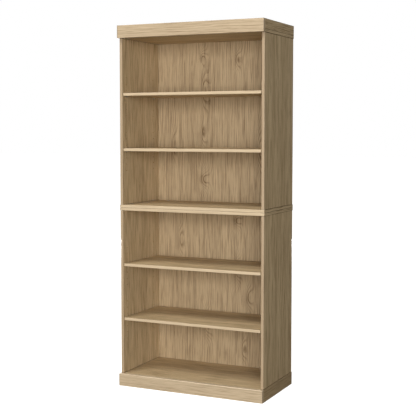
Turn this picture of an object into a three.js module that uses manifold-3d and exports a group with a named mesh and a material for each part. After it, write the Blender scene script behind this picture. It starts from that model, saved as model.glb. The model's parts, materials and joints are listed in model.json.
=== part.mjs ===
import * as THREE from 'three';
import { mergeVertices } from 'three/addons/utils/BufferGeometryUtils.js';
import Module from 'manifold-3d';

// A bookcase made of two cases that stand one on the other, each with two adjustable shelves.
// Millimetres. +X is right, +Y is back, +Z is up. The origin lies on the floor, under the
// middle of the outline.

const wasm = await Module();
wasm.setup();

// ---- Driving dimensions ----

const totalHeight = 1829;
const caseWidth = 785; // over the outer faces of the side panels
const sideDepth = 388; // front edge to rear edge of a side panel
const board = 15; // thickness of every laminated board
const hardboard = 3; // thickness of the back panels
const bandHeight = 63.5; // height of the base band and of the crown band
const fascia = 20; // thickness of the two front fascias, in front of the side panels
const overhang = 2.25; // how far base, middle, top and crown stand proud of the side panels

const shelfDepth = 360;
const shelfSetback = 3; // shelf front edge behind the side panels' front edge
const shelfEndGap = 1.75; // between a shelf's end and the side panel
const shelfBottoms = [1478.5, 1200.5, 614, 336]; // the four adjustable shelves, from the top

const pinPitch = 32;
const pinSteps = 3; // holes above and below the one in use
const pinInset = 37; // pin axis from the shelf's front and rear edges
const pinRadius = 2.5;

const clearance = 0.3; // between a fastener and its hole, and under a resting shelf

// ---- Planes worked out from them ----

const midHeight = totalHeight / 2; // joint between the two cases
const outerX = caseWidth / 2;
const innerX = outerX - board;
const endX = outerX + overhang; // ends of the base, middle and top boards
const insetX = endX - board; // inner faces of the base and crown side boards
const frontY = -(fascia + sideDepth + hardboard) / 2 + fascia; // side panels' front edge
const rearY = frontY + sideDepth; // side panels' rear edge
const fasciaY = frontY - fascia;
const railY = rearY - board;
const baseTop = bandHeight;
const topUnder = totalHeight - bandHeight;
const topUpper = topUnder + board;
const coverUnder = totalHeight - board;

// ---- Materials ----

function finish(colour, roughness, metalness = 0) {
  return new THREE.MeshStandardMaterial({ color: colour, roughness, metalness });
}

const oakLaminate = finish(0xb8996f, 0.5);
const oakBack = finish(0xa88c66, 0.6);
const rawBlock = finish(0xc9ab7c, 0.8);
const zincSteel = finish(0xb9bcbf, 0.35, 1);
const nickelSteel = finish(0xc6c3bb, 0.3, 1);

// ---- Solids ----

function solidOf(geometry) {
  const bare = geometry.clone();
  bare.deleteAttribute('normal');
  bare.deleteAttribute('uv');
  const merged = mergeVertices(bare);
  return new wasm.Manifold(new wasm.Mesh({
    numProp: 3,
    vertProperties: merged.attributes.position.array,
    triVerts: Uint32Array.from(merged.index.array),
  }));
}

function geometryOf(solid) {
  const mesh = solid.getMesh();
  const geometry = new THREE.BufferGeometry();
  geometry.setAttribute('position', new THREE.BufferAttribute(mesh.vertProperties, 3));
  geometry.setIndex(new THREE.BufferAttribute(mesh.triVerts, 1));
  geometry.computeVertexNormals();
  return geometry;
}

const up = new THREE.Vector3(0, 0, 1);
const down = new THREE.Vector3(0, 0, -1);
const right = new THREE.Vector3(1, 0, 0);
const left = new THREE.Vector3(-1, 0, 0);
const back = new THREE.Vector3(0, 1, 0);

// A turned piece. The profile is a list of [radius, distance], and the distance runs from the
// place along the direction.
function turned(profile, sides, place, direction) {
  const outline = profile.map(([radius, distance]) => new THREE.Vector2(radius, distance));
  const geometry = new THREE.LatheGeometry(outline, sides);
  const turn = new THREE.Quaternion().setFromUnitVectors(back, direction);
  geometry.applyQuaternion(turn);
  geometry.translate(...place);
  return geometry;
}

// ---- Boards ----

const boards = new Map();

function addBoard(name, material, x, y, z) {
  boards.set(name, { material, x, y, z, cutters: [] });
}

function cut(names, geometry) {
  for (const name of names) boards.get(name).cutters.push(geometry);
}

function boardMesh(name) {
  const { material, x, y, z, cutters } = boards.get(name);
  const size = [x, y, z].map(([low, high]) => high - low);
  const middle = [x, y, z].map(([low, high]) => (low + high) / 2);
  const blank = new THREE.BoxGeometry(...size);
  let geometry = blank;
  if (cutters.length > 0) {
    let solid = solidOf(blank);
    for (const cutter of cutters) {
      const local = cutter.clone().translate(...middle.map((value) => -value));
      solid = solid.subtract(solidOf(local));
    }
    geometry = geometryOf(solid);
  }
  const mesh = new THREE.Mesh(geometry, material);
  mesh.name = name;
  mesh.position.set(...middle);
  return mesh;
}

const fullWidth = [-endX, endX];
const insetWidth = [-insetX, insetX];
const sideRun = [frontY, rearY];
const sides = [
  { name: 'left', sign: -1, outward: left },
  { name: 'right', sign: 1, outward: right },
];

// The two faces of a board on one side of the case, in rising order.
function sideSpan(sign, near, far) {
  return sign > 0 ? [near, far] : [-far, -near];
}

// Base band: front fascia, side boards, rear rail and the bottom board let in between them.
addBoard('base_front_fascia', oakLaminate, fullWidth, [fasciaY, frontY], [0, bandHeight]);
addBoard('base_back_rail', oakLaminate, insetWidth, [railY, rearY], [0, baseTop - board]);
addBoard('bottom_board', oakLaminate, insetWidth, sideRun, [baseTop - board, baseTop]);

// Middle: the lower case's top and the upper case's bottom lie on each other.
addBoard('lower_top_board', oakLaminate, fullWidth, sideRun, [midHeight - board, midHeight]);
addBoard('upper_bottom_board', oakLaminate, fullWidth, sideRun, [midHeight, midHeight + board]);

// Crown band: the top board, the fascias that stand on it and the cover that closes it.
addBoard('top_board', oakLaminate, fullWidth, sideRun, [topUnder, topUpper]);
addBoard('crown_front_fascia', oakLaminate, fullWidth, [fasciaY, frontY], [topUnder, totalHeight]);
addBoard('crown_back_rail', oakLaminate, insetWidth, [railY, rearY], [topUpper, totalHeight]);
addBoard('crown_cover', oakLaminate, insetWidth, [frontY, railY], [coverUnder, totalHeight]);

for (const { name, sign } of sides) {
  const bandX = sideSpan(sign, insetX, endX);
  const sideX = sideSpan(sign, innerX, outerX);
  addBoard(`base_${name}_board`, oakLaminate, bandX, sideRun, [0, bandHeight]);
  addBoard(`lower_${name}_side`, oakLaminate, sideX, sideRun, [baseTop, midHeight - board]);
  addBoard(`upper_${name}_side`, oakLaminate, sideX, sideRun, [midHeight + board, topUnder]);
  addBoard(`crown_${name}_fascia`, oakLaminate, bandX, sideRun, [topUpper, totalHeight]);
}

// Back panels, nailed on the rear edges of the sides and of the boards above and below.
const backLap = board / 2;
const backX = [-outerX + 1, outerX - 1];
const backRun = [rearY, rearY + hardboard];
const lowerBackZ = [baseTop - backLap, midHeight - backLap];
const upperBackZ = [midHeight + backLap, topUnder + backLap];
addBoard('lower_back_panel', oakBack, backX, backRun, lowerBackZ);
addBoard('upper_back_panel', oakBack, backX, backRun, upperBackZ);

// ---- Adjustable shelves and their support pins ----

const shelfX = [-innerX + shelfEndGap, innerX - shelfEndGap];
const shelfY = [frontY + shelfSetback, frontY + shelfSetback + shelfDepth];
const pinColumns = [
  { name: 'front', y: shelfY[0] + pinInset },
  { name: 'back', y: shelfY[1] - pinInset },
];
const pinSides = 8;
const pinHoleSides = 8;
const pinHoleDepth = 12;
const pinReach = 10; // how far a pin stands out of the side panel
const pinShank = 9.5; // how far it goes in
const collarRadius = 4;
const collarThickness = 1;
const pinProfile = [
  [0, 0],
  [pinRadius, 0],
  [pinRadius, pinReach - clearance - collarThickness],
  [collarRadius, pinReach - clearance - collarThickness],
  [collarRadius, pinReach - clearance],
  [pinRadius, pinReach - clearance],
  [pinRadius, pinReach + pinShank],
  [0, pinReach + pinShank],
];
const pinHoleProfile = [
  [0, 0],
  [pinRadius + clearance, 0],
  [pinRadius + clearance, pinHoleDepth + clearance],
  [0, pinHoleDepth + clearance],
];

const shelfGroups = shelfBottoms.map((bottom, index) => {
  const label = `shelf_${index + 1}`;
  const caseName = bottom > midHeight ? 'upper' : 'lower';
  const pinZ = bottom - pinRadius - clearance;
  addBoard(label, oakLaminate, shelfX, shelfY, [bottom, bottom + board]);
  const group = new THREE.Group();
  for (const side of sides) {
    const panel = `${caseName}_${side.name}_side`;
    for (const column of pinColumns) {
      const tipX = side.sign * (innerX - pinReach);
      const pin = turned(pinProfile, pinSides, [0, 0, 0], side.outward);
      const mesh = new THREE.Mesh(pin, nickelSteel);
      mesh.name = `${label}_pin_${column.name}_${side.name}`;
      mesh.position.set(tipX, column.y, pinZ);
      group.add(mesh);
      for (let step = -pinSteps; step <= pinSteps; step += 1) {
        const place = [side.sign * (innerX - clearance), column.y, pinZ + step * pinPitch];
        cut([panel], turned(pinHoleProfile, pinHoleSides, place, side.outward));
      }
    }
  }
  return { label, group };
});

// ---- Fasteners, each with its hole in the boards that it joins ----

const fittings = [];

function addFitting(name, material, geometry) {
  const mesh = new THREE.Mesh(geometry, material);
  mesh.name = name;
  fittings.push(mesh);
  return mesh;
}

// Countersunk screws through a board into the end grain of the side panels. The heads lie
// just under the board's face, where the next board covers them.
const screwSides = 8;
const screwSink = 0.5;
const screwHead = 4.2;
const screwCore = 2.2;
const screwCone = 3;
const screwLength = 44;
const screwPoint = 4;
const screwProfile = [
  [0, 0],
  [screwHead, 0],
  [screwCore, screwCone],
  [screwCore, screwLength - screwPoint],
  [0, screwLength],
];
const screwHole = [
  [0, -screwSink - board],
  [screwHead + clearance, -screwSink - board],
  [screwHead + clearance, 0],
  [screwCore + clearance, screwCone],
  [screwCore + clearance, screwLength + clearance],
  [0, screwLength + clearance],
];
const screwX = outerX - board / 2;
const screwRows = [
  { name: 'front', y: frontY + 60 },
  { name: 'back', y: rearY - 60 },
];

function caseScrews(boardName, caseName, surface, direction) {
  for (const side of sides) {
    for (const row of screwRows) {
      const place = [side.sign * screwX, row.y, surface + direction.z * screwSink];
      const screw = turned(screwProfile, screwSides, [0, 0, 0], direction);
      addFitting(`${boardName}_screw_${row.name}_${side.name}`, zincSteel, screw)
        .position.set(...place);
      const hole = turned(screwHole, screwSides, place, direction);
      cut([boardName, `${caseName}_${side.name}_side`], hole);
    }
  }
}

caseScrews('lower_top_board', 'lower', midHeight, down);
caseScrews('upper_bottom_board', 'upper', midHeight, up);
caseScrews('top_board', 'upper', topUpper, down);

// Connector bolts that clamp the two cases together near the back, with their sleeve nuts.
const connectorX = 300;
const connectorY = rearY - 40;
const connectorSides = 12;
const connectorHead = 7.5;
const connectorHeadHeight = 1.6;
const boltRadius = 2;
const boltEnd = 20;
const sleeveRadius = 3.5;
const sleeveMouth = 28;
const sleeveFloor = 8;
const boltProfile = [
  [0, 0],
  [connectorHead, 0],
  [connectorHead, connectorHeadHeight],
  [boltRadius, connectorHeadHeight],
  [boltRadius, boltEnd],
  [0, boltEnd],
];
const sleeveProfile = [
  [0, 0],
  [connectorHead, 0],
  [connectorHead, connectorHeadHeight],
  [sleeveRadius, connectorHeadHeight],
  [sleeveRadius, sleeveMouth],
  [boltRadius + clearance, sleeveMouth],
  [boltRadius + clearance, sleeveFloor],
  [0, sleeveFloor],
];
const connectorHole = [
  [0, -2 * board],
  [sleeveRadius + clearance, -2 * board],
  [sleeveRadius + clearance, 2 * board],
  [0, 2 * board],
];

for (const side of sides) {
  const x = side.sign * connectorX;
  const boltZ = midHeight + board + connectorHeadHeight;
  const nutZ = midHeight - board - connectorHeadHeight;
  addFitting(`unit_bolt_${side.name}`, nickelSteel,
    turned(boltProfile, connectorSides, [0, 0, 0], down)).position.set(x, connectorY, boltZ);
  addFitting(`unit_sleeve_nut_${side.name}`, nickelSteel,
    turned(sleeveProfile, connectorSides, [0, 0, 0], up)).position.set(x, connectorY, nutZ);
  cut(['lower_top_board', 'upper_bottom_board'],
    turned(connectorHole, connectorSides, [x, connectorY, midHeight], up));
}

// Glue blocks in the corners of the base, just clear of the floor.
const blockSize = 28;
const blockLift = 6;
const blockRows = [
  { name: 'front', y: frontY + blockSize / 2 },
  { name: 'back', y: railY - blockSize / 2 },
];

for (const side of sides) {
  for (const row of blockRows) {
    const low = blockLift;
    const high = baseTop - board;
    const x = side.sign * (insetX - blockSize / 2);
    addFitting(`base_block_${row.name}_${side.name}`, rawBlock,
      new THREE.BoxGeometry(blockSize, blockSize, high - low))
      .position.set(x, row.y, (low + high) / 2);
  }
}

// Keyhole plate on the crown's back rail. As the upper case is set down, the plate drops over
// the head of a screw in the wall, which keeps the bookcase from tipping. A pocket in the rail
// makes room for the head.
const plateWidth = 90;
const plateHeight = 28;
const plateThickness = 2;
const plateZ = (topUpper + totalHeight) / 2;
const plateHoleX = 33;
const plateHoleRadius = 2.2;
const keyholeSides = 20;
const keyholeRadius = 4.5; // lets the screw's head through
const keyholeZ = -4.5; // middle of the round part, from the plate's middle
const slotRadius = 2.5; // half the slot's width, for the screw's shank
const slotZ = 6; // middle of the slot's round end
const pocketWidth = 16;
const pocketHeight = 24;
const pocketDepth = 9;

function throughHole(radius, x, z) {
  const profile = [
    [0, -plateThickness],
    [radius, -plateThickness],
    [radius, plateThickness],
    [0, plateThickness],
  ];
  return solidOf(turned(profile, keyholeSides, [x, 0, z], back));
}

const slot = new THREE.BoxGeometry(2 * slotRadius, 2 * plateThickness, slotZ - keyholeZ);
slot.translate(0, 0, (slotZ + keyholeZ) / 2);
const plateBlank = solidOf(new THREE.BoxGeometry(plateWidth, plateThickness, plateHeight));
const plateSolid = plateBlank
  .subtract(throughHole(keyholeRadius, 0, keyholeZ))
  .subtract(throughHole(slotRadius, 0, slotZ))
  .subtract(solidOf(slot))
  .subtract(throughHole(plateHoleRadius, plateHoleX, 0))
  .subtract(throughHole(plateHoleRadius, -plateHoleX, 0));
addFitting('wall_plate', zincSteel, geometryOf(plateSolid))
  .position.set(0, rearY + plateThickness / 2, plateZ);

const pocket = new THREE.BoxGeometry(pocketWidth, 2 * pocketDepth, pocketHeight);
pocket.translate(0, rearY, plateZ);
cut(['crown_back_rail'], pocket);

// ---- The bookcase ----

const group = new THREE.Group();
const shelfLabels = shelfGroups.map(({ label }) => label);
for (const name of boards.keys()) {
  if (!shelfLabels.includes(name)) group.add(boardMesh(name));
}
for (const { label, group: pins } of shelfGroups) {
  pins.add(boardMesh(label));
  group.add(pins);
}
group.add(...fittings);

export default group;
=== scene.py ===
import json
import math

import bmesh
import bpy
from mathutils import Matrix, Vector


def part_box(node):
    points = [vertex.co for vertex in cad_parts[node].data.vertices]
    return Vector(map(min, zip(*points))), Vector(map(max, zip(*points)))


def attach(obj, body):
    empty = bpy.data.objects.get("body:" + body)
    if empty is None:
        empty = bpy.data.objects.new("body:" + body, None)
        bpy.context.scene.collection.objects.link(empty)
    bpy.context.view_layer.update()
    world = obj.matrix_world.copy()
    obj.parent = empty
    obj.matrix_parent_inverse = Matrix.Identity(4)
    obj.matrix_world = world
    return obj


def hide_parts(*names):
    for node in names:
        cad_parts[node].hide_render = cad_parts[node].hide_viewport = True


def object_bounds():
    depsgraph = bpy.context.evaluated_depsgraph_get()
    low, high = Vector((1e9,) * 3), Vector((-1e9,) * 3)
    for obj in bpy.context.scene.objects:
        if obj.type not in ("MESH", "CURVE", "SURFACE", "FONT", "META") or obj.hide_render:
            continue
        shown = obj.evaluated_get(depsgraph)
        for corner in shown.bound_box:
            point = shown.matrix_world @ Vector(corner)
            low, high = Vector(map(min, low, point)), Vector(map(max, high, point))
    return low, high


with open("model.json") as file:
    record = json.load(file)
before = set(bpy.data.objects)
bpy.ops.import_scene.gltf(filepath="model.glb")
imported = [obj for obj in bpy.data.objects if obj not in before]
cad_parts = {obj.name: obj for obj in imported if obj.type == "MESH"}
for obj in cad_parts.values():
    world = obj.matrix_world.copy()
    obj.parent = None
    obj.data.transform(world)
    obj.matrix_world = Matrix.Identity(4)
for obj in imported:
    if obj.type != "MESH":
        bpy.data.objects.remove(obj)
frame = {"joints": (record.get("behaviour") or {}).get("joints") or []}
cad_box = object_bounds()

MM = 0.001
CASE = "case"
AXES = "xyz"
SIDES = {"left": -1, "right": 1}
ROWS = ("front", "back")
UNITS = ("lower", "upper")
SHELVES = (1, 2, 3, 4)
CENTRE = (Vector(cad_box[0]) + Vector(cad_box[1])) / 2


def middle_of(node):
    """The middle of a CAD node's box, at rest."""
    low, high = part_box(node)
    return (low + high) / 2


# ---- Shader building ----


class Shader:
    """Short calls that add nodes to one material and join them."""

    def __init__(self, name):
        self.material = bpy.data.materials.new(name)
        self.material.use_nodes = True
        self.nodes = self.material.node_tree.nodes
        self.links = self.material.node_tree.links
        self.surface = self.nodes["Principled BSDF"]

    def feed(self, socket, value):
        """Links another node's output to a socket, or sets the socket to a plain value."""
        if isinstance(value, bpy.types.NodeSocket):
            self.links.new(value, socket)
        else:
            socket.default_value = value

    def math(self, operation, first, second=0.0, third=0.0):
        node = self.nodes.new("ShaderNodeMath")
        node.operation = operation
        for socket, value in zip(node.inputs, (first, second, third)):
            self.feed(socket, value)
        return node.outputs[0]

    def vector(self, x, y, z):
        node = self.nodes.new("ShaderNodeCombineXYZ")
        for socket, value in zip(node.inputs, (x, y, z)):
            self.feed(socket, value)
        return node.outputs[0]

    def split(self, vector):
        node = self.nodes.new("ShaderNodeSeparateXYZ")
        self.feed(node.inputs[0], vector)
        return node.outputs[0], node.outputs[1], node.outputs[2]

    def grain(self):
        """The three grain coordinates of a board: along, across and through, in metres."""
        node = self.nodes.new("ShaderNodeAttribute")
        node.attribute_name = "grain"
        return self.split(node.outputs["Vector"])

    def place(self):
        """The place on the object itself, in metres."""
        node = self.nodes.new("ShaderNodeTexCoord")
        return node.outputs["Object"]

    def noise(self, vector, scale=1.0, detail=2.0, roughness=0.5, distortion=0.0):
        node = self.nodes.new("ShaderNodeTexNoise")
        self.feed(node.inputs["Vector"], vector)
        node.inputs["Scale"].default_value = scale
        node.inputs["Detail"].default_value = detail
        node.inputs["Roughness"].default_value = roughness
        node.inputs["Distortion"].default_value = distortion
        return node.outputs["Fac"]

    def drawn(self, along_rate, across_rate, detail=2.0, roughness=0.5):
        """Noise drawn out along the grain. The rates are its features in each metre along the
        grain, and in each metre across it or through it."""
        along, across, through = self.grain()
        spot = self.vector(self.math("MULTIPLY", along, along_rate),
                           self.math("MULTIPLY", across, across_rate),
                           self.math("MULTIPLY", through, across_rate))
        return self.noise(spot, detail=detail, roughness=roughness)

    def cells(self, vector, scale):
        """Random cells: a shade for each one, and the distance from its middle."""
        node = self.nodes.new("ShaderNodeTexVoronoi")
        self.feed(node.inputs["Vector"], vector)
        node.inputs["Scale"].default_value = scale
        return node.outputs["Color"], node.outputs["Distance"]

    def span(self, value, low, high, out_low=0.0, out_high=1.0):
        """Turns the range from low to high into another one, with soft ends."""
        node = self.nodes.new("ShaderNodeMapRange")
        node.interpolation_type = "SMOOTHSTEP"
        self.feed(node.inputs["Value"], value)
        node.inputs["From Min"].default_value = low
        node.inputs["From Max"].default_value = high
        node.inputs["To Min"].default_value = out_low
        node.inputs["To Max"].default_value = out_high
        return node.outputs["Result"]

    def total(self, shares):
        """The sum of values, each times its share."""
        answer = 0.0
        for value, share in shares:
            answer = self.math("MULTIPLY_ADD", value, share, answer)
        return answer

    def mix(self, factor, first, second):
        """The first colour where the factor is 0, and the second where it is 1."""
        node = self.nodes.new("ShaderNodeMix")
        node.data_type = "RGBA"
        self.feed(node.inputs["Factor"], factor)
        self.feed(node.inputs["A"], first)
        self.feed(node.inputs["B"], second)
        return node.outputs["Result"]

    def bump(self, height, distance, strength):
        """Small relief. The distance is its depth in metres."""
        node = self.nodes.new("ShaderNodeBump")
        node.inputs["Strength"].default_value = strength
        node.inputs["Distance"].default_value = distance
        self.feed(node.inputs["Height"], height)
        self.links.new(node.outputs["Normal"], self.surface.inputs["Normal"])

    def finish(self, colour, roughness, metallic=0.0):
        """Sets the surface's main inputs and gives the material."""
        self.feed(self.surface.inputs["Base Color"], colour)
        self.feed(self.surface.inputs["Roughness"], roughness)
        self.surface.inputs["Metallic"].default_value = metallic
        return self.material


def linear(*channels):
    """Turns the red, green and blue of a colour, from 0 to 255, into what the shaders take: the
    sRGB standard's curve undone, and a fourth channel for full cover."""
    shares = [channel / 255 for channel in channels]
    return (*(((share + 0.055) / 1.055) ** 2.4 for share in shares), 1.0)


# ---- Oak print ----

RING_PITCH = 0.0105  # between the growth lines
LINE_RISE = (0.35, 0.85)  # where each line darkens, as shares of the pitch
LINE_FALL = (0.88, 1.0)  # and where it ends
THIN_PITCH = RING_PITCH / 4.3  # between the faint lines among them
SWAY = 0.03  # how far the lines wander over a long stretch
HILLS = 0.022  # how far they bend into arches
SHIVER = 0.004  # how far they tremble
SEED_ALONG = 1.9  # each step of a board's seed moves its print this far along the grain
SEED_THROUGH = 7.3  # and this far through it

# The size of each layer of the print, as features in a metre along and across the grain.
SWAY_RATES = (1.3, 5.0)
HILL_RATES = (4.5, 11.0)
SHIVER_RATES = (14.0, 90.0)
CLEAR_RATES = (2.2, 28.0)
STREAK_RATES = (7.0, 190.0)
HAIR_RATES = (14.0, 420.0)
BAND_RATES = (0.8, 17.0)
PORE_RATES = (45.0, 1400.0)

# How much each layer darkens the print.
BAND_SHARE = 0.24
LINE_SHARE = 0.3
STREAK_SHARE = 0.38
HAIR_SHARE = 0.24
THIN_SHARE = 0.12
HEART_SHARE = 0.5
PORE_SHARE = 0.55
DARKEST = 1.3  # the most that they darken it together

SWELL_PUSH = 1.5  # a swelling pushes the growth lines aside by this many of its half widths
SWELL_LINES = 2.1  # and makes them this much stronger
HEART_SIZE = 0.35  # of the swelling, as a squared distance
PRESSED = 0.00012  # the depth of the pressed texture, in metres
SPECULAR = 0.4  # a little less shine than the shader's usual half

# The figure on the back panels, as swellings in the grain. For each: x and z from the panel's
# middle, its half width and its half length, all in metres, and how dark its heart is.
FIGURE = {
    "upper": (
        (-0.120, 0.335, 0.028, 0.050, 0.6),
        (-0.112, 0.160, 0.040, 0.130, 0.0),
        (-0.118, -0.060, 0.030, 0.080, 0.2),
        (-0.115, -0.300, 0.040, 0.060, 0.5),
        (0.082, 0.325, 0.028, 0.055, 0.2),
        (0.205, -0.140, 0.030, 0.120, 0.0),
        (-0.290, -0.120, 0.024, 0.090, 0.0),
    ),
    "lower": (
        (0.078, 0.352, 0.036, 0.045, 0.5),
        (0.080, 0.090, 0.040, 0.080, 0.2),
        (0.150, -0.050, 0.030, 0.070, 0.3),
        (-0.095, -0.215, 0.038, 0.080, 0.1),
        (-0.250, 0.240, 0.026, 0.090, 0.0),
        (0.120, -0.330, 0.026, 0.070, 0.0),
    ),
}
PANEL_SEED = {"lower": 18, "upper": 19}


def swellings():
    """Each swelling of the figure: where it is along and across the grain, its half width, its
    half length and its heart."""
    for unit, marks in FIGURE.items():
        middle = middle_of(f"{unit}_back_panel")
        for x, z, half_width, half_length, heart in marks:
            along = middle.z + z + PANEL_SEED[unit] * SEED_ALONG
            yield along, middle.x + x, half_width, half_length, heart


def oak(name, light, dark, pore, contrast, roughness, figured=False):
    """Printed oak: growth lines that run along the board and bend into arches here and there,
    with dark streaks, pores, broad changes of tone and a fine pressed texture. Figured oak has
    the swellings of the back panels as well."""
    s = Shader(name)
    along, across, _ = s.grain()

    lift = s.total(((s.drawn(*SWAY_RATES), SWAY),
                    (s.drawn(*HILL_RATES, detail=1.5), HILLS),
                    (s.drawn(*SHIVER_RATES, detail=3.0), SHIVER)))
    hearts = 0.0
    swollen = 0.0
    if figured:
        for mid_along, mid_across, half_width, half_length, heart in swellings():
            up = s.math("DIVIDE", s.math("SUBTRACT", along, mid_along), half_length)
            over = s.math("DIVIDE", s.math("SUBTRACT", across, mid_across), half_width)
            away = s.math("MULTIPLY_ADD", up, up, s.math("MULTIPLY", over, over))
            swell = s.math("POWER", math.e, s.math("MULTIPLY", away, -1.0))
            lift = s.math("MULTIPLY_ADD", swell, half_width * SWELL_PUSH, lift)
            core = s.span(away, 0.0, HEART_SIZE, heart, 0.0)
            hearts = s.math("MAXIMUM", core, hearts)
            swollen = s.math("MAXIMUM", swell, swollen)

    # Each growth line darkens slowly across the grain and then ends sharply.
    bent = s.math("ADD", across, lift)
    ring = s.math("FRACT", s.math("DIVIDE", bent, RING_PITCH))
    line = s.math("MULTIPLY", s.span(ring, *LINE_RISE), s.span(ring, *LINE_FALL, 1.0, 0.0))
    clear = s.span(s.drawn(*CLEAR_RATES, detail=3.0), 0.35, 0.65, 0.2, 1.0)
    strength = s.math("MAXIMUM", clear, s.math("MULTIPLY", swollen, SWELL_LINES))
    line = s.math("MULTIPLY", line, strength)
    thin = s.math("FRACT", s.math("DIVIDE", bent, THIN_PITCH))
    streak = s.span(s.drawn(*STREAK_RATES, detail=3.0), 0.48, 0.64)
    hair = s.span(s.drawn(*HAIR_RATES), 0.45, 0.7)
    band = s.span(s.drawn(*BAND_RATES, detail=3.0, roughness=0.6), 0.25, 0.75)
    tone = s.total(((band, BAND_SHARE), (line, LINE_SHARE), (streak, STREAK_SHARE),
                    (hair, HAIR_SHARE), (thin, THIN_SHARE), (hearts, HEART_SHARE)))
    tone = s.math("MULTIPLY", tone, contrast)
    base = s.mix(s.math("MINIMUM", tone, DARKEST), light, dark)

    # The pores gather in the growth lines and the streaks.
    tick = s.span(s.drawn(*PORE_RATES, detail=1.0), 0.6, 0.75)
    pores = s.math("MULTIPLY", tick, s.total(((line, 0.6), (streak, 0.4), (1.0, 0.2))))
    colour = s.mix(s.math("MULTIPLY", pores, PORE_SHARE), base, pore)

    s.bump(s.total(((line, -0.4), (pores, -1.0))), distance=PRESSED, strength=0.6)
    sheen = s.span(band, 0.0, 1.0, roughness - 0.04, roughness + 0.05)
    gloss = s.math("MULTIPLY_ADD", pores, 0.18, sheen)
    s.surface.inputs["Specular IOR Level"].default_value = SPECULAR
    return s.finish(colour, gloss)


LAMINATE = oak("oak_laminate", linear(222, 198, 156), linear(134, 108, 72),
               linear(104, 80, 52), contrast=1.05, roughness=0.47)
FASCIA = oak("oak_fascia", linear(208, 186, 153), linear(138, 115, 84),
             linear(124, 98, 68), contrast=0.85, roughness=0.45)
# A darker copy of the laminate for the low side boards: painted shade near the floor.
BASE_SIDE = oak("oak_base_side_painted_shade", linear(202, 177, 137), linear(116, 91, 58),
                linear(96, 73, 46), contrast=1.0, roughness=0.47)
BACKING = oak("oak_back_panel", linear(207, 182, 143), linear(112, 86, 54),
              linear(98, 74, 46), contrast=0.9, roughness=0.52, figured=True)
BAND = oak("oak_edge_band", linear(216, 194, 160), linear(180, 156, 121),
           linear(160, 134, 100), contrast=0.7, roughness=0.42)
# A paler, glossier oak for the base fascia's lying eased edges: a painted highlight along its
# arrises.
HIGHLIGHT_EDGE = oak("oak_painted_highlight_edge", linear(236, 216, 184), linear(214, 192, 158),
                linear(196, 172, 138), contrast=0.6, roughness=0.36)
SIDE_BAND = oak("oak_side_band", linear(188, 165, 134), linear(152, 127, 95),
                linear(140, 114, 82), contrast=0.7, roughness=0.42)


# ---- Other materials ----

# Features of the sawn softwood in a metre.
SAWN_ALONG = 14.0
SAWN_ACROSS = 260.0
SAW_MARKS = 900.0


def chipboard():
    """Raw particleboard, as on drilled and sawn edges."""
    s = Shader("chipboard")
    place = s.place()
    flake, edge = s.cells(place, scale=900.0)
    mixed = s.mix(s.span(flake, 0.25, 0.75), linear(150, 116, 76), linear(196, 163, 118))
    shade = s.noise(place, scale=260.0, detail=4.0)
    colour = s.mix(s.span(shade, 0.35, 0.7, 0.0, 0.6), mixed, linear(118, 88, 58))
    s.bump(edge, distance=0.0003, strength=0.8)
    return s.finish(colour, 0.85)


def trimmed_edge_and_seam_shade():
    """The laminate's dark trimmed edge, darkened further as painted shade in the seams."""
    s = Shader("laminate_trimmed_edge_and_seam_shade")
    shade = s.span(s.drawn(30.0, 300.0), 0.3, 0.7)
    colour = s.mix(shade, linear(122, 96, 66), linear(84, 62, 40))
    return s.finish(colour, 0.7)


def hardboard():
    """The raw rear face of the back panels: brown pressed fibre."""
    s = Shader("hardboard_rear")
    place = s.place()
    fibre = s.noise(place, scale=700.0, detail=5.0, roughness=0.65, distortion=1.2)
    cloud = s.noise(place, scale=9.0, detail=4.0)
    colour = s.mix(s.span(fibre, 0.35, 0.7), linear(142, 107, 72), linear(108, 78, 50))
    colour = s.mix(s.span(cloud, 0.3, 0.7, 0.0, 0.35), colour, linear(158, 124, 88))
    s.bump(fibre, distance=0.00015, strength=0.7)
    return s.finish(colour, 0.8)


def softwood():
    """The sawn glue blocks in the base, with upright grain and saw marks."""
    s = Shader("raw_softwood")
    x, y, z = s.split(s.place())
    run = s.vector(s.math("MULTIPLY", x, SAWN_ACROSS), s.math("MULTIPLY", y, SAWN_ACROSS),
                   s.math("MULTIPLY", z, SAWN_ALONG))
    line = s.noise(run, detail=4.0)
    saw = s.noise(s.vector(x, y, s.math("MULTIPLY", z, SAW_MARKS)), detail=1.0)
    colour = s.mix(s.span(line, 0.35, 0.7), linear(216, 184, 134), linear(176, 139, 90))
    s.bump(s.total(((line, 1.0), (saw, 0.6))), distance=0.0002, strength=0.5)
    return s.finish(colour, 0.8)


def plated(name, colour, roughness):
    """Plated steel with fine scratches and slightly uneven gloss."""
    s = Shader(name)
    place = s.place()
    worn = s.noise(place, scale=420.0, detail=5.0, roughness=0.7)
    cloud = s.noise(place, scale=60.0, detail=2.0)
    tint = s.mix(s.span(cloud, 0.3, 0.7, 0.0, 0.25), colour, linear(150, 146, 138))
    s.bump(worn, distance=0.00003, strength=0.6)
    gloss = s.span(worn, 0.3, 0.7, roughness, roughness + 0.15)
    return s.finish(tint, gloss, metallic=1.0)


CHIPBOARD = chipboard()
# The trimmed edge, with painted shade in the seams, for the boards' lying eased edges.
TRIMMED_EDGE_AND_SEAM_SHADE = trimmed_edge_and_seam_shade()
HARDBOARD = hardboard()
SOFTWOOD = softwood()
NICKEL = plated("nickel_steel", linear(214, 210, 200), roughness=0.22)
ZINC = plated("zinc_steel", linear(196, 198, 202), roughness=0.3)


# ---- Boards ----

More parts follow.
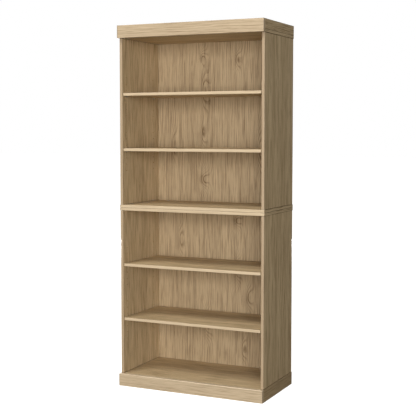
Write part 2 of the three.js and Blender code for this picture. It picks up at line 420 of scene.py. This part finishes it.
LARGE_FACES = 100  # the modifier's highest weight, by which the largest face sets the shading
GAP = 0.35 * MM  # half the gap between two boards of the case
EASE = 0.8 * MM  # rounding of a board's edges
EASE_STEPS = 3
FASCIA_EASE = 2.5 * MM  # and of the two front fascias' edges
FRONT_BAND = (2.0 * MM, 1.9 * MM)  # thickness and rounding of the banding on a front edge
END_BAND = (1.2 * MM, 0.9 * MM)  # and at a board's ends
FACE_INDEX, BAND_INDEX, RAW_INDEX, REAR_INDEX, EDGE_INDEX = range(5)  # material slots
HOLE_SIDES = 16
HOLE_CELL = 6 * MM  # half the square of board that each round hole is made in
HOLE_CHAMFER = 0.15 * MM

# How far a face's normal goes along an axis, out of 1.
SQUARE = 0.99  # at least, on a flat face
ALONG = 0.9  # at least, on a flat face and the first step of its eased edges
REARWARD = 0.5  # at least, on all that shows from behind
TILTED = 0.1  # at least, on an edge that isn't upright


def add_block(mesh, low, high, ease, side=None):
    """Adds a box to a bmesh and gives its vertices. All its edges are eased, or only those of
    the face on one side, given as an axis and a sign."""
    before = set(mesh.verts)
    place = Matrix.Translation((low + high) / 2) @ Matrix.Diagonal((*(high - low), 1.0))
    made = bmesh.ops.create_cube(mesh, size=1.0, matrix=place)
    edges = {edge for vertex in made["verts"] for edge in vertex.link_edges}
    if side:
        axis, sign = side
        middle = (low[axis] + high[axis]) / 2
        edges = {edge for edge in edges
                 if all((vertex.co[axis] - middle) * sign > 0 for vertex in edge.verts)}
    bmesh.ops.bevel(mesh, geom=list(edges), offset=ease, segments=EASE_STEPS, profile=0.5,
                    affect="EDGES", clamp_overlap=True)
    return [vertex for vertex in mesh.verts if vertex not in before]


def lay_grain(mesh, vertices, run, seed):
    """Stores each vertex's place along, across and through the grain. run names those axes."""
    along, across, through = (AXES.index(axis) for axis in run)
    grain = mesh.verts.layers.float_vector["grain"]
    for vertex in vertices:
        spot = vertex.co
        vertex[grain] = (spot[along] + seed * SEED_ALONG, spot[across],
                         spot[through] + seed * SEED_THROUGH)


def seated_box(node):
    """A board's box, a hair smaller wherever it isn't on the outside of the whole bookcase."""
    low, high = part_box(node)
    for index in range(3):
        if low[index] > cad_box[0][index] + GAP:
            low[index] += GAP
        if high[index] < cad_box[1][index] - GAP:
            high[index] -= GAP
    return low, high


def paint(polygons, face_index, edge_index):
    """Gives a block's lying eased edges one material, and its faces and upright edges another."""
    for polygon in polygons:
        eased = max(map(abs, polygon.normal)) < SQUARE
        # Lying eased edges carry the painted seam shade; on the base fascia, the painted highlight.
        lying = eased and abs(polygon.normal.z) > TILTED
        polygon.material_index = edge_index if lying else face_index


def strip_run(low, high, normal):
    """The grain axes of an edge band: along its length, across the board's thickness, and
    through the band."""
    size = high - low
    others = [index for index in range(3) if index != normal]
    longest, shortest = sorted(others, key=lambda index: -size[index])
    return AXES[longest] + AXES[shortest] + AXES[normal]


def edge_strips(low, high, bands):
    """Cuts strips of edge banding off a board's box. Gives the strips, each with its axis, its
    side, its rounding and its box, and the box of the core that is left."""
    core_low, core_high = low.copy(), high.copy()
    strips = []
    for sign, axis in zip(bands[0::2], bands[1::2]):
        index = AXES.index(axis)
        thickness, ease = FRONT_BAND if axis == "y" else END_BAND
        strip_low, strip_high = core_low.copy(), core_high.copy()
        if sign == "-":
            core_low[index] += thickness
            strip_high[index] = core_low[index]
        else:
            core_high[index] -= thickness
            strip_low[index] = core_high[index]
        strips.append((index, -1 if sign == "-" else 1, ease, strip_low, strip_high))
    return strips, core_low, core_high


def score(mesh, axis, values):
    """Cuts a mesh's faces along planes across one axis, at some values on it."""
    direction = Vector((0, 0, 0))
    direction[axis] = 1.0
    for value in sorted(set(values)):
        geometry = mesh.verts[:] + mesh.edges[:] + mesh.faces[:]
        bmesh.ops.bisect_plane(mesh, geom=geometry, plane_co=direction * value,
                               plane_no=direction)


def face_at(mesh, spot, direction):
    """The face that looks along a direction, with its middle nearest to the spot."""
    facing = [face for face in mesh.faces if face.normal.dot(direction) > SQUARE]
    return min(facing, key=lambda face: (face.calc_center_median() - spot).length)


def wall_between(mesh, outer, inner):
    """Joins two rings of vertices, the inner one deeper in the board."""
    for step in range(len(outer)):
        after = (step + 1) % len(outer)
        wall = mesh.faces.new((outer[step], outer[after], inner[after], inner[step]))
        wall.material_index = RAW_INDEX


def drill(mesh, face, radius, depth):
    """Makes a round blind hole with a broken edge in a square face."""
    corners = list(face.verts)
    centre = face.calc_center_median()
    normal = face.normal.copy()
    first = (corners[0].co - centre).normalized()
    second = normal.cross(first)
    rings = []
    for reach, sunk in ((radius + HOLE_CHAMFER, 0), (radius, HOLE_CHAMFER), (radius, depth)):
        ring = []
        for step in range(HOLE_SIDES):
            angle = 2 * math.pi * step / HOLE_SIDES
            spoke = first * math.cos(angle) + second * math.sin(angle)
            ring.append(mesh.verts.new(centre + spoke * reach - normal * sunk))
        rings.append(ring)
    bmesh.ops.delete(mesh, geom=[face], context="FACES_ONLY")

    # Each corner of the square is joined to the quarter of the mouth that is nearest to it.
    mouth = rings[0]
    quarter = HOLE_SIDES // len(corners)
    for index, corner in enumerate(corners):
        begin = index * quarter - quarter // 2
        end = begin + quarter
        mesh.faces.new((corner, corners[(index + 1) % len(corners)], mouth[end]))
        for step in range(begin, end):
            mesh.faces.new((mouth[(step + 1) % HOLE_SIDES], mouth[step % HOLE_SIDES], corner))
    for outer, inner in zip(rings, rings[1:]):
        wall_between(mesh, outer, inner)
    mesh.faces.new(rings[-1]).material_index = RAW_INDEX


def rout(mesh, face, depth):
    """Sinks a square-cornered pocket in a face."""
    corners = list(face.verts)
    floor = [mesh.verts.new(corner.co - face.normal * depth) for corner in corners]
    bmesh.ops.delete(mesh, geom=[face], context="FACES_ONLY")
    wall_between(mesh, corners, floor)
    mesh.faces.new(floor).material_index = RAW_INDEX


def make_board(node, run, seed, bands="", raw="", face=LAMINATE, band=SIDE_BAND, rear=CHIPBOARD,
               edge=TRIMMED_EDGE_AND_SEAM_SHADE, ease=EASE, body=CASE, sink=None, trim=0.0):
    """A laminated board in the place of a CAD node.

    run names the grain's axes, and seed picks the part of the print that the board shows. bands
    and raw list faces as "-y+x": a banded face gets a strip of edge banding with its own eased
    corners, and a raw face shows the chipboard. face, band, rear and edge are the materials of
    the faces, the strip in front, the rear face and the eased edges. sink makes holes, and trim
    takes a little off the rear."""
    low, high = seated_box(node)
    high.y -= trim
    strips, core_low, core_high = edge_strips(low, high, bands)
    mesh = bmesh.new()
    mesh.verts.layers.float_vector.new("grain")
    add_block(mesh, core_low, core_high, ease)
    mesh.normal_update()
    paint(mesh.faces, FACE_INDEX, EDGE_INDEX)
    for polygon in mesh.faces:
        for sign, axis in zip(raw[0::2], raw[1::2]):
            turn = polygon.normal[AXES.index(axis)]
            if (turn > ALONG and sign == "+") or (turn < -ALONG and sign == "-"):
                polygon.material_index = RAW_INDEX
        if rear is not CHIPBOARD and polygon.normal.y > REARWARD:
            polygon.material_index = REAR_INDEX
    if sink:
        sink(mesh, core_low, core_high)
    lay_grain(mesh, mesh.verts, run, seed)
    for normal, sign, rounding, strip_low, strip_high in strips:
        vertices = add_block(mesh, strip_low, strip_high, rounding, (normal, sign))
        lay_grain(mesh, vertices, strip_run(strip_low, strip_high, normal), seed)
        mesh.normal_update()
        polygons = {polygon for vertex in vertices for polygon in vertex.link_faces}
        if AXES[normal] == "y":
            paint(polygons, BAND_INDEX, BAND_INDEX)
        else:
            paint(polygons, FACE_INDEX, EDGE_INDEX)
    piece = piece_from(mesh, f"{node}_board", (face, band, CHIPBOARD, rear, edge))
    keep_flat(piece)
    settle(piece, body, node)


def piece_from(mesh, name, materials, crease=None):
    """An object from a bmesh, smooth all over or creased at edges sharper than an angle."""
    data = bpy.data.meshes.new(name)
    mesh.to_mesh(data)
    mesh.free()
    data.shade_smooth()
    if crease:
        data.set_sharp_from_angle(angle=crease)
    for material in materials:
        data.materials.append(material)
    piece = bpy.data.objects.new(name, data)
    bpy.context.scene.collection.objects.link(piece)
    return piece


def keep_flat(piece):
    """Shades the flat faces flat, and the eased edges round."""
    even = piece.modifiers.new("flat_faces", "WEIGHTED_NORMAL")
    even.weight = LARGE_FACES
    even.keep_sharp = True


def settle(piece, body, node=None):
    """Puts a piece on its body, and lets it stand for a CAD node."""
    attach(piece, body)
    if node:
        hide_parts(node)


# Pin holes: for each shelf, a column of them at the front and at the back of each side panel.
PIN_HOLE_RADIUS = 2.8 * MM
PIN_HOLE_DEPTH = 12 * MM
PIN_PITCH = 32 * MM
TRAVEL = {joint["name"]: joint["range_m"] for joint in frame["joints"] if "range_m" in joint}


def pin_spots(unit, side):
    """The places of one side panel's pin holes, as (y, z)."""
    low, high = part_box(f"{unit}_{side}_side")
    spots = []
    for shelf in SHELVES:
        down, up = TRAVEL[f"shelf_{shelf}_height"]
        for row in ROWS:
            pin = middle_of(f"shelf_{shelf}_pin_{row}_{side}")
            if low.z < pin.z < high.z:
                for step in range(round(down / PIN_PITCH), round(up / PIN_PITCH) + 1):
                    spots.append((pin.y, pin.z + step * PIN_PITCH))
    return spots


def pin_holes(unit, side):
    """The cutter that make_board calls for a side panel."""
    def sink(mesh, low, high):
        inward = Vector((-SIDES[side], 0, 0))
        face_x = high.x if inward.x > 0 else low.x
        spots = pin_spots(unit, side)
        for axis, places in zip("yz", zip(*spots)):
            cuts = [place + sign * HOLE_CELL for place in places for sign in (-1, 1)]
            score(mesh, AXES.index(axis), cuts)
        for y, z in spots:
            mesh.normal_update()
            face = face_at(mesh, Vector((face_x, y, z)), inward)
            drill(mesh, face, PIN_HOLE_RADIUS, PIN_HOLE_DEPTH)
    return sink


POCKET_WIDTH = 16 * MM
POCKET_HEIGHT = 24 * MM
POCKET_DEPTH = 9 * MM


def plate_pocket(mesh, _, high):
    """Routs the pocket behind the wall plate's keyhole. make_board calls it for the rail."""
    plate = middle_of("wall_plate")
    for axis, size in (("x", POCKET_WIDTH), ("z", POCKET_HEIGHT)):
        index = AXES.index(axis)
        score(mesh, index, [plate[index] - size / 2, plate[index] + size / 2])
    mesh.normal_update()
    face = face_at(mesh, Vector((plate.x, high.y, plate.z)), Vector((0, 1, 0)))
    rout(mesh, face, POCKET_DEPTH)


BANDED_ENDS = "-x+x-y"

# The axes along, across and through the grain.
LYING = "xyz"  # on a board that lies flat
FACING = "xzy"  # on a board that faces the front
FLANK = "yzx"  # on a low side board
UPRIGHT = "zyx"  # on a side panel
BEHIND = "zxy"  # on a back panel

# The first seeds of the boards that are made in loops. The others' seeds are in their calls.
BASE_SIDE_SEED = 10
SIDE_PANEL_SEED = 14
SHELF_SEED = 20
CROWN_SIDE_SEED = 32

NAIL_PROUD = 0.3 * MM  # how far the nail heads stand off the back panels

# The base fascia's lying edges take the painted highlight.
make_board("base_front_fascia", FACING, 1, bands="-x+x", raw="-z", face=FASCIA, edge=HIGHLIGHT_EDGE,
           ease=FASCIA_EASE)
make_board("base_back_rail", FACING, 2, raw="-z+y")
make_board("bottom_board", LYING, 3, bands="-y", raw="+y", band=BAND)
make_board("lower_top_board", LYING, 4, bands=BANDED_ENDS, raw="+y", band=BAND)
make_board("upper_bottom_board", LYING, 5, bands=BANDED_ENDS, raw="+y", band=BAND)
make_board("top_board", LYING, 6, bands=BANDED_ENDS, raw="+y")
make_board("crown_front_fascia", FACING, 7, bands="-x+x", face=FASCIA, edge=FASCIA,
           ease=FASCIA_EASE)
make_board("crown_back_rail", FACING, 8, sink=plate_pocket)
make_board("crown_cover", LYING, 9)
for number, side in enumerate(SIDES):
    # The low side boards take the darker laminate, painted shade near the floor.
    make_board(f"base_{side}_board", FLANK, BASE_SIDE_SEED + number, raw="-z+y", face=BASE_SIDE)
    make_board(f"crown_{side}_fascia", FLANK, CROWN_SIDE_SEED + number, raw="+y")
    for count, unit in enumerate(UNITS):
        seed = SIDE_PANEL_SEED + number + len(SIDES) * count
        make_board(f"{unit}_{side}_side", UPRIGHT, seed, bands="-y", raw="+y",
                   sink=pin_holes(unit, side))
for unit in UNITS:
    make_board(f"{unit}_back_panel", BEHIND, PANEL_SEED[unit], face=BACKING, rear=HARDBOARD,
               trim=NAIL_PROUD)
for shelf in SHELVES:
    make_board(f"shelf_{shelf}", LYING, SHELF_SEED + shelf, bands=BANDED_ENDS, raw="+y",
               band=BAND, body=f"shelf_{shelf}_board")


# ---- Turned fittings ----
# A profile is a list of (radius, distance, form) in millimetres, from the axis at one end to
# the axis at the other. The form shapes the ring at that point.

THREAD_PITCH = 1.8
THREAD_DEPTH = 0.55
THREAD_RINGS = 4  # in each pitch
STAR_LOBES = 6
STAR_DEPTH = 0.14  # as a share of the radius
CREASE = math.radians(38)  # a sharper edge than this isn't shaded smooth

# How many sides the rings of each fitting have.
PIN_SIDES = 24
CASE_SCREW_SIDES = 18
BOLT_SIDES = 36
NAIL_SIDES = 12
PLATE_SCREW_SIDES = 24


def ring_radius(radius, distance, form, angle):
    """How far from the axis a ring is at an angle round it."""
    if form == "hex":
        sixth = math.pi / 3
        return radius / math.cos(angle % sixth - sixth / 2)
    if form == "star":
        return radius * (1 + STAR_DEPTH * math.cos(STAR_LOBES * angle))
    if form == "thread":
        phase = (distance / THREAD_PITCH - angle / (2 * math.pi)) % 1
        return radius - THREAD_DEPTH * abs(2 * phase - 1)
    return radius


def add_turned(mesh, profile, place, direction, sides):
    """Adds a turned solid to a bmesh. Its distances run from the place along the direction."""
    turn = Vector((0, 0, 1)).rotation_difference(Vector(direction)).to_matrix()

    def spot(radius, distance, angle):
        local = Vector((radius * math.cos(angle), radius * math.sin(angle), distance))
        return mesh.verts.new(turn @ (local * MM) + place)

    first = spot(0, profile[0][1], 0)
    last = spot(0, profile[-1][1], 0)
    rings = []
    for radius, distance, form in profile[1:-1]:
        angles = [2 * math.pi * step / sides for step in range(sides)]
        rings.append([spot(ring_radius(radius, distance, form, angle), distance, angle)
                      for angle in angles])
    for step in range(sides):
        after = (step + 1) % sides
        mesh.faces.new((first, rings[0][after], rings[0][step]))
        mesh.faces.new((last, rings[-1][step], rings[-1][after]))
        for lower, upper in zip(rings, rings[1:]):
            mesh.faces.new((lower[step], lower[after], upper[after], upper[step]))


def thread(radius, start, end):
    """The rings of a screw thread between two distances."""
    count = math.ceil((end - start) / (THREAD_PITCH / THREAD_RINGS))
    return [(radius, start + (end - start) * step / count, "thread") for step in range(count + 1)]


def make_turned(name, profile, place, direction, sides, material, body, node=None):
    """A turned piece. Its profile starts at the place and runs along the direction."""
    mesh = bmesh.new()
    add_turned(mesh, profile, place, direction, sides)
    settle(piece_from(mesh, name, (material,), CREASE), body, node)


def near_end(node, axis, sign):
    """Where a fitting begins that fills a CAD node's box and runs up or down an axis."""
    low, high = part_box(node)
    place = (low + high) / 2
    index = AXES.index(axis)
    place[index] = low[index] if sign > 0 else high[index]
    return place


def plain(*points):
    """A profile, or a part of one, whose rings are all round."""
    return [(radius, distance, "round") for radius, distance in points]


# Shelf supports: a rounded peg for the shelf, a collar, and a ribbed shank in the panel.
RIB_STARTS = (11.5, 13.5, 15.5, 17.5)
PIN_RIBS = [point for start in RIB_STARTS
            for point in ((2.35, start), (2.6, start + 0.3), (2.6, start + 0.8),
                          (2.35, start + 1.1))]
PIN_PROFILE = plain((0, 0), (1.5, 0), (2.1, 0.2), (2.4, 0.6), (2.5, 1.1), (2.5, 8.5), (2.7, 8.7),
                    (3.6, 8.7), (3.9, 8.85), (4.0, 9.1), (4.0, 9.4), (3.85, 9.7), (2.4, 9.7),
                    *PIN_RIBS, (2.3, 18.9), (1.9, 19.5), (0, 19.5))

for shelf in SHELVES:
    for row in ROWS:
        for side, sign in SIDES.items():
            node = f"shelf_{shelf}_pin_{row}_{side}"
            make_turned(f"{node}_peg", PIN_PROFILE, near_end(node, "x", sign), (sign, 0, 0),
                        PIN_SIDES, NICKEL, f"shelf_{shelf}_pins", node)

# Countersunk case screws with a six-lobed recess.
SCREW_PROFILE = [(0, 1.6, "round"), (1.3, 1.6, "star"), (1.5, 0.1, "star"), (1.6, 0, "star"),
                 (3.9, 0, "round"), (4.15, 0.2, "round"), (2.15, 3.0, "round"),
                 (2.0, 10.0, "round"), *thread(2.2, 10.4, 39.0), (1.2, 41.5, "round"),
                 (0.2, 44.0, "round"), (0, 44.0, "round")]

for board, sign in (("lower_top_board", -1), ("upper_bottom_board", 1), ("top_board", -1)):
    for side in SIDES:
        for row in ROWS:
            node = f"{board}_screw_{row}_{side}"
            make_turned(f"{node}_threaded", SCREW_PROFILE, near_end(node, "z", sign),
                        (0, 0, sign), CASE_SCREW_SIDES, ZINC, CASE, node)

# Connector bolts and sleeve nuts with domed heads and hexagon sockets.
HEAD = [(0, 1.3, "round"), (1.9, 1.3, "hex"), (1.9, 0.15, "hex"), (2.05, 0, "hex"),
        (6.4, 0.05, "round"), (7.1, 0.3, "round"), (7.5, 0.8, "round"), (7.5, 1.4, "round"),
        (7.3, 1.6, "round")]
BOLT_PROFILE = [*HEAD, (2.0, 1.6, "round"), (2.0, 5.0, "round"), *thread(2.0, 5.2, 19.0),
                (1.4, 20.0, "round"), (0, 20.0, "round")]
SLEEVE_PROFILE = [*HEAD, (3.5, 1.6, "round"), (3.5, 27.7, "round"), (3.3, 28.0, "round"),
                  (2.5, 28.0, "round"), (2.3, 27.7, "round"), (2.3, 8.0, "round"),
                  (0, 8.0, "round")]

CONNECTORS = (("bolt", -1, BOLT_PROFILE), ("sleeve_nut", 1, SLEEVE_PROFILE))

for side in SIDES:
    for kind, sign, profile in CONNECTORS:
        node = f"unit_{kind}_{side}"
        make_turned(f"{node}_socket_head", profile, near_end(node, "z", sign), (0, 0, sign),
                    BOLT_SIDES, NICKEL, CASE, node)

# Nails along the edges of each back panel, into the boards in front of it.
NAIL_SPACING = 100 * MM
NAIL_INSET_X = 6.5 * MM  # from the panel's side edges
NAIL_INSET_Z = 3.75 * MM  # from its top and bottom
NAIL_PROFILE = plain((0, 0), (1.1, 0), (1.4, 0.08), (1.5, 0.2), (1.5, 0.4), (0.7, 0.8),
                     (0.7, 18.0), (0.1, 20.0), (0, 20.0))


def spread(low, high, spacing):
    """Places evenly spread from low to high, about a spacing apart."""
    count = round((high - low) / spacing)
    return [low + (high - low) * step / count for step in range(count + 1)]


for unit in UNITS:
    low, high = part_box(f"{unit}_back_panel")
    left, right = low.x + NAIL_INSET_X, high.x - NAIL_INSET_X
    bottom, top = low.z + NAIL_INSET_Z, high.z - NAIL_INSET_Z
    spots = [(x, z) for x in spread(left, right, NAIL_SPACING) for z in (bottom, top)]
    spots += [(x, z) for z in spread(bottom, top, NAIL_SPACING)[1:-1] for x in (left, right)]
    mesh = bmesh.new()
    for x, z in spots:
        add_turned(mesh, NAIL_PROFILE, Vector((x, high.y, z)), (0, -1, 0), NAIL_SIDES)
    settle(piece_from(mesh, f"{unit}_back_nails", (ZINC,), CREASE), CASE)


# ---- Glue blocks ----

BLOCK_EASE = 1.2 * MM

for row in ROWS:
    for side in SIDES:
        node = f"base_block_{row}_{side}"
        mesh = bmesh.new()
        add_block(mesh, *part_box(node), BLOCK_EASE)
        block = piece_from(mesh, f"{node}_sawn", (SOFTWOOD,))
        keep_flat(block)
        settle(block, CASE, node)


# ---- Wall plate ----

PLATE_CORNER = 4 * MM  # radius of its corners
PLATE_EASE = 0.25 * MM  # rounding of its edges
PLATE_EASE_STEPS = 2
KEYHOLE_RADIUS = 4.5 * MM
KEYHOLE_DROP = 4.5 * MM  # from the plate's middle down to the middle of the round part
SLOT_RADIUS = 2.5 * MM
SLOT_RISE = 6 * MM  # from the plate's middle up to the middle of the slot's rounded end
PLATE_HOLE_X = 33 * MM
PLATE_HOLE_RADIUS = 2.2 * MM
ARC_STEPS = 8  # in each quarter of a turn
WELD = 0.01 * MM  # points closer than this are one point


def arc(x, y, radius, start, end):
    """Points on an arc between two angles in degrees."""
    steps = ARC_STEPS * max(1, round(abs(end - start) / 90))
    angles = [math.radians(start + (end - start) * step / steps) for step in range(steps + 1)]
    return [(x + radius * math.cos(angle), y + radius * math.sin(angle)) for angle in angles]


def plate_outlines(half_width, half_height):
    """The plate's outline, its keyhole and its two screw holes."""
    corner_x, corner_y = half_width - PLATE_CORNER, half_height - PLATE_CORNER
    corners = ((1, 1, 0), (-1, 1, 90), (-1, -1, 180), (1, -1, 270))
    yield [point for x, y, start in corners
           for point in arc(x * corner_x, y * corner_y, PLATE_CORNER, start, start + 90)]
    neck = math.degrees(math.asin(SLOT_RADIUS / KEYHOLE_RADIUS))
    yield (arc(0, -KEYHOLE_DROP, KEYHOLE_RADIUS, 90 + neck, 450 - neck)
           + arc(0, SLOT_RISE, SLOT_RADIUS, 0, 180))
    for sign in SIDES.values():
        yield arc(sign * PLATE_HOLE_X, 0, PLATE_HOLE_RADIUS, 0, 360)[:-1]


def make_wall_plate():
    """A steel plate with rounded corners, a keyhole and two screw holes, from a filled curve."""
    low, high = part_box("wall_plate")
    size = high - low
    curve = bpy.data.curves.new("wall_plate_outline", "CURVE")
    curve.dimensions = "2D"
    curve.fill_mode = "BOTH"
    for outline in plate_outlines(size.x / 2 - PLATE_EASE, size.z / 2 - PLATE_EASE):
        spline = curve.splines.new("POLY")
        spline.points.add(len(outline) - 1)
        for point, (x, y) in zip(spline.points, outline):
            point.co = (x, y, 0, 1)
        spline.use_cyclic_u = True
    curve.extrude = size.y / 2 - PLATE_EASE
    curve.bevel_depth = PLATE_EASE
    curve.bevel_resolution = PLATE_EASE_STEPS
    shaper = bpy.data.objects.new("wall_plate_shaper", curve)
    bpy.context.scene.collection.objects.link(shaper)
    bpy.context.view_layer.update()
    shaped = shaper.evaluated_get(bpy.context.evaluated_depsgraph_get())
    data = bpy.data.meshes.new_from_object(shaped)
    bpy.data.objects.remove(shaper)
    mesh = bmesh.new()
    mesh.from_mesh(data)
    place = Matrix.Translation(middle_of("wall_plate")) @ Matrix.Rotation(math.pi / 2, 4, "X")
    bmesh.ops.transform(mesh, matrix=place, verts=mesh.verts)
    bmesh.ops.remove_doubles(mesh, verts=mesh.verts, dist=WELD)
    bmesh.ops.recalc_face_normals(mesh, faces=mesh.faces)
    plate = piece_from(mesh, "wall_plate_keyhole", (ZINC,), CREASE)
    keep_flat(plate)
    settle(plate, CASE, "wall_plate")


PLATE_SCREW_PROFILE = [(0, 1.2, "round"), (1.0, 1.2, "star"), (1.2, 0, "star"),
                       (2.6, 0.1, "round"), (3.3, 0.45, "round"), (3.5, 0.85, "round"),
                       (2.1, 0.85, "round"), *thread(2.1, 3.2, 13.0), (0.2, 15.0, "round"),
                       (0, 15.0, "round")]
PLATE_SCREW_PROUD = 0.8 * MM  # how far the heads stand off the plate

make_wall_plate()
_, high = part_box("wall_plate")
for side, sign in SIDES.items():
    head = Vector((sign * PLATE_HOLE_X, high.y + PLATE_SCREW_PROUD, middle_of("wall_plate").z))
    make_turned(f"wall_plate_screw_{side}", PLATE_SCREW_PROFILE, head, (0, -1, 0),
                PLATE_SCREW_SIDES, ZINC, CASE)


# ---- Floor, light and camera ----

WHITE = (1.0, 1.0, 1.0, 1.0)
GREY = (0.5, 0.5, 0.5, 1.0)

FLOOR_SIZE = 40.0  # from the middle to an edge
FLOOR_GLOW = 1.0
FLOOR_ROUGHNESS = 0.9
FLOOR_BOUNCE = (0.18, 0.16, 0.13, 1.0)  # the colour that it lights the object with

FILL_COLOUR = (1.0, 0.93, 0.8, 1.0)
FILL_STRENGTH = 0.15

# The key light stands in front of the bookcase, a little to its right.
KEY_COLOUR = (1.0, 1.02, 1.07)
KEY_SIDE = math.radians(22)
KEY_DISTANCE = 8.0
KEY_HEIGHT = 1.8
KEY_PLACE = (KEY_DISTANCE * math.sin(KEY_SIDE), -KEY_DISTANCE * math.cos(KEY_SIDE), KEY_HEIGHT)
KEY_SIZE = (4.5, 3.0)
KEY_POWER = 490.0

# The high light lights the shelves and the top.
HIGH_PLACE = (-2.6, -5.0, 8.4)
HIGH_SIZE = (4.2, 2.8)
HIGH_POWER = 520.0

# The rear light lights the back. It is lower than the top, so it throws no glare on it.
REAR_PLACE = (-3.0, 6.0, 0.9)
REAR_SIZE = (4.0, 1.6)
REAR_POWER = 420.0

CAMERA_PLACE = (2.083, -4.409, 1.306)
CAMERA_TILT = math.radians(86.0)  # from straight down
CAMERA_TURN = math.radians(25.16)  # to the right of the bookcase's front
CAMERA_LENS = 83.28  # millimetres
CAMERA_SENSOR = 36.0  # millimetres
CAMERA_SHIFT = -0.025
CAMERA_REACH = 100.0


def seen_as(tree, seen, other):
    """Joins two shaders: what the camera sees, and what lights the object."""
    path = tree.nodes.new("ShaderNodeLightPath")
    choice = tree.nodes.new("ShaderNodeMixShader")
    tree.links.new(path.outputs["Is Camera Ray"], choice.inputs[0])
    tree.links.new(other, choice.inputs[1])
    tree.links.new(seen, choice.inputs[2])
    return choice.outputs[0]


def make_floor():
    """A plain white floor with a faint shadow. It throws little light back at the object."""
    data = bpy.data.meshes.new("floor")
    corners = [(x * FLOOR_SIZE, y * FLOOR_SIZE, 0) for x, y in ((-1, -1), (1, -1), (1, 1), (-1, 1))]
    data.from_pydata(corners, [], [(0, 1, 2, 3)])
    floor = bpy.data.objects.new("floor", data)
    bpy.context.scene.collection.objects.link(floor)
    s = Shader("floor")
    s.surface.inputs["Specular IOR Level"].default_value = 0.0
    s.surface.inputs["Emission Color"].default_value = WHITE
    s.surface.inputs["Emission Strength"].default_value = FLOOR_GLOW
    s.finish(GREY, FLOOR_ROUGHNESS)
    dull = s.nodes.new("ShaderNodeBsdfDiffuse")
    dull.inputs["Color"].default_value = FLOOR_BOUNCE
    joined = seen_as(s.material.node_tree, s.surface.outputs[0], dull.outputs[0])
    s.links.new(joined, s.nodes["Material Output"].inputs["Surface"])
    data.materials.append(s.material)


def make_light(name, place, size, power, colour=(1.0, 1.0, 1.0)):
    """A soft lamp that faces the middle of the bookcase."""
    lamp = bpy.data.lights.new(name, "AREA")
    lamp.shape = "RECTANGLE"
    lamp.size, lamp.size_y = size
    lamp.energy = power
    lamp.color = colour
    light = bpy.data.objects.new(name, lamp)
    light.location = place
    light.rotation_euler = (CENTRE - Vector(place)).to_track_quat("-Z", "Y").to_euler()
    bpy.context.scene.collection.objects.link(light)


def make_camera():
    """The photograph's viewing angle, tilted down a little so that the shift can be small."""
    data = bpy.data.cameras.new("camera")
    data.sensor_width = CAMERA_SENSOR
    data.lens = CAMERA_LENS
    data.shift_y = CAMERA_SHIFT
    data.clip_end = CAMERA_REACH
    camera = bpy.data.objects.new("camera", data)
    camera.location = CAMERA_PLACE
    camera.rotation_euler = (CAMERA_TILT, 0, CAMERA_TURN)
    bpy.context.scene.collection.objects.link(camera)
    bpy.context.scene.camera = camera


def make_world():
    """White behind the object, and a softer glow from all round to light it."""
    world = bpy.data.worlds.new("studio")
    world.use_nodes = True
    tree = world.node_tree
    glow = tree.nodes["Background"]
    glow.inputs["Color"].default_value = FILL_COLOUR
    glow.inputs["Strength"].default_value = FILL_STRENGTH
    white = tree.nodes.new("ShaderNodeBackground")
    white.inputs["Color"].default_value = WHITE
    joined = seen_as(tree, white.outputs[0], glow.outputs[0])
    tree.links.new(joined, tree.nodes["World Output"].inputs["Surface"])
    bpy.context.scene.world = world


make_floor()
make_world()
make_light("key", KEY_PLACE, KEY_SIZE, KEY_POWER, KEY_COLOUR)
make_light("high", HIGH_PLACE, HIGH_SIZE, HIGH_POWER)
make_light("rear", REAR_PLACE, REAR_SIZE, REAR_POWER)
make_camera()
bpy.context.scene.view_settings.view_transform = "Standard"
